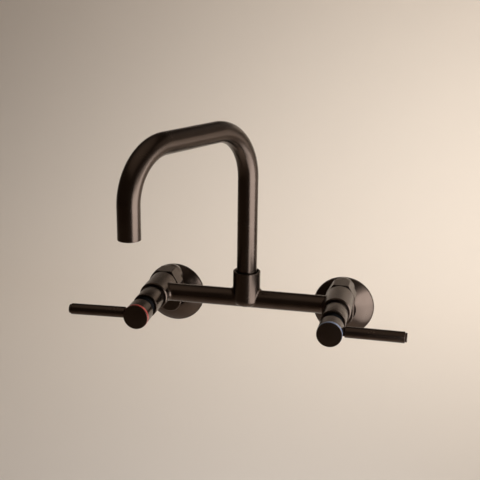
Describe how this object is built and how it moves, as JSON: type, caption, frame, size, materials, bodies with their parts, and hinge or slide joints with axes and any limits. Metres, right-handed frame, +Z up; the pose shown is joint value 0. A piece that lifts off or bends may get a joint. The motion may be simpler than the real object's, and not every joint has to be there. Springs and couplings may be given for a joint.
{
  "type": "wall-mounted kitchen faucet",
  "caption": "Wall-mounted bridge faucet in dark bronze with a tall square-arched swivel spout, side lever handles with red and blue rings, and domed wall covers.",
  "frame": {"origin": "on the wall plane, midway between the axes of the two wall inlets", "axes": "+Z up, +Y into the wall (the faucet stands out along -Y), +X from the hot inlet to the cold inlet"},
  "size_m": [0.3573, 0.2569, 0.2684],
  "materials": {
    "bronze": "oil-rubbed bronze, satin",
    "bare_brass": "machined brass",
    "steel": "stainless, plain",
    "ceramic": "lapped alumina",
    "seal_rubber": "moulded rubber",
    "dark_plastic": "moulded, matt",
    "pale_plastic": "turned acetal",
    "red_ring": "enamelled",
    "blue_ring": "enamelled"
  },
  "bodies": {
    "root": {"hot_escutcheon": "bronze", "hot_eccentric_union": "bronze", "hot_union_washer": "seal_rubber", "hot_inlet_nipple": "bronze", "hot_coupling_nut": "bronze", "hot_valve_body": "bronze", "hot_cartridge_seal": "seal_rubber", "hot_fixed_disc": "ceramic", "hot_cartridge_housing": "bare_brass", "hot_bonnet": "bronze", "hot_glide_sleeve": "dark_plastic", "cold_escutcheon": "bronze", "cold_eccentric_union": "bronze", "cold_union_washer": "seal_rubber", "cold_inlet_nipple": "bronze", "cold_coupling_nut": "bronze", "cold_valve_body": "bronze", "cold_cartridge_seal": "seal_rubber", "cold_fixed_disc": "ceramic", "cold_cartridge_housing": "bare_brass", "cold_bonnet": "bronze", "cold_glide_sleeve": "dark_plastic", "bridge": "bronze", "spout_bearing_ring": "pale_plastic", "spout_retaining_screw": "steel"},
    "hot_handle": {"hot_stem": "bare_brass", "hot_stem_oring": "seal_rubber", "hot_moving_disc": "ceramic", "hot_handle_hub": "bronze", "hot_handle_screw": "steel", "hot_index_ring": "red_ring", "hot_hub_cap": "bronze", "hot_lever": "bronze"},
    "cold_handle": {"cold_stem": "bare_brass", "cold_stem_oring": "seal_rubber", "cold_moving_disc": "ceramic", "cold_handle_hub": "bronze", "cold_handle_screw": "steel", "cold_index_ring": "blue_ring", "cold_hub_cap": "bronze", "cold_lever": "bronze"},
    "spout_arm": {"spout": "bronze", "spout_spigot": "bare_brass", "spout_orings": "seal_rubber", "aerator_housing": "dark_plastic", "aerator_screen": "steel", "aerator_gasket": "seal_rubber"}
  },
  "joints": [
    {"name": "hot_handle_turn", "type": "hinge", "parent": "root", "child": "hot_handle", "pos_m": [-0.1016, -0.1453, 0.0273], "axis": [0, -1, 0], "range_deg": [0, 90]},
    {"name": "cold_handle_turn", "type": "hinge", "parent": "root", "child": "cold_handle", "pos_m": [0.1016, -0.1453, 0.0273], "axis": [0, 1, 0], "range_deg": [0, 90]},
    {"name": "spout_swivel", "type": "hinge", "parent": "root", "child": "spout_arm", "pos_m": [0, -0.0736, 0.0473], "axis": [0, 0, 1], "range_deg": [-76.2, 123.8]}
  ]
}
